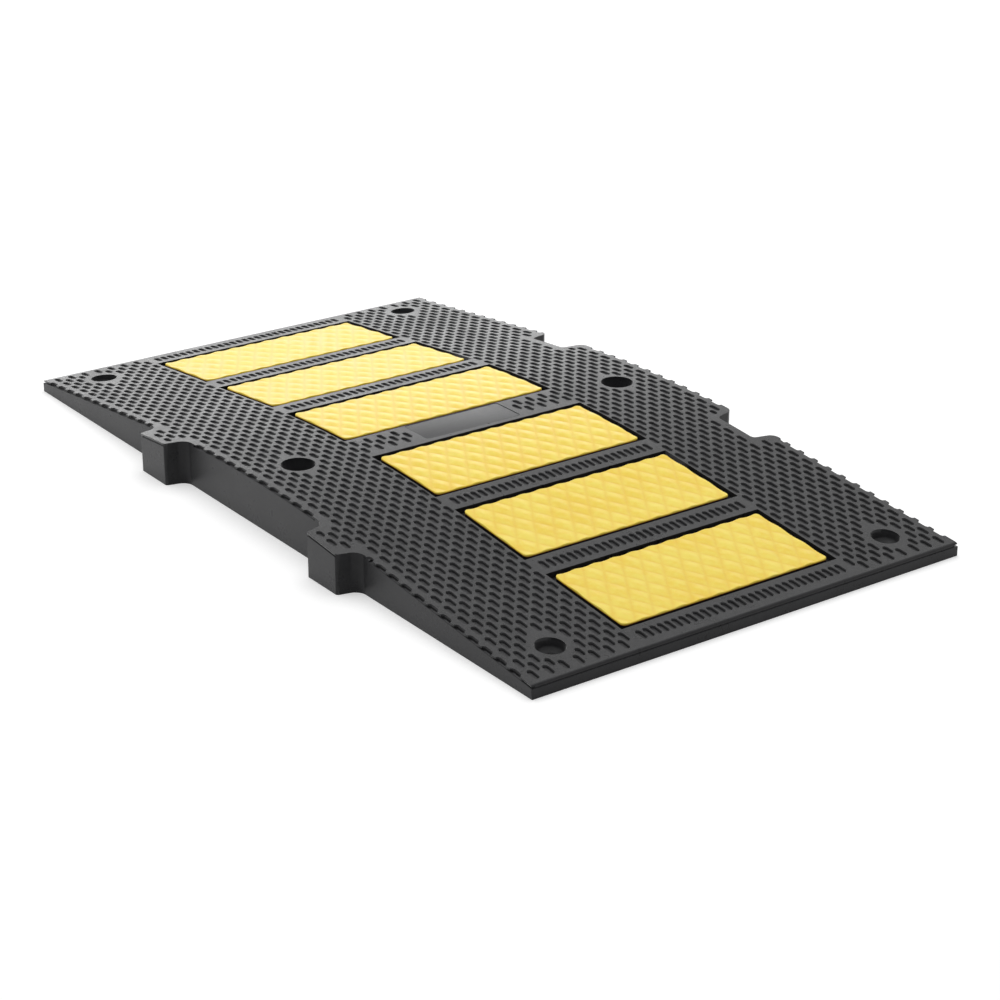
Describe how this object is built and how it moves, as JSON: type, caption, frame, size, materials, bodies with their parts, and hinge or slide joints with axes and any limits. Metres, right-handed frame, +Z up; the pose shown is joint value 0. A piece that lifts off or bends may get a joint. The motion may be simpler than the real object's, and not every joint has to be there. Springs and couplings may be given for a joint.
{
  "type": "speed_bump_module",
  "caption": "Low black rubber road hump module with a rounded crest, dashed tread, interlocking side tongues and notches, counterbored bolt holes and bonded yellow reflective tiled inserts",
  "frame": {"origin": "centre of the module's footprint between its side faces, on the road surface", "axes": "+X along the direction of travel, +Y across the road from the tongues to the notches, +Z up"},
  "size_m": [0.9, 0.522, 0.05],
  "materials": {
    "rubber": "matte moulded",
    "yellow": "satin reflective"
  },
  "bodies": {
    "root": {"rubber_body": "rubber", "yellow_insert_1": "yellow", "yellow_insert_2": "yellow", "yellow_insert_3": "yellow", "yellow_insert_4": "yellow", "yellow_insert_5": "yellow", "yellow_insert_6": "yellow"}
  },
  "joints": []
}
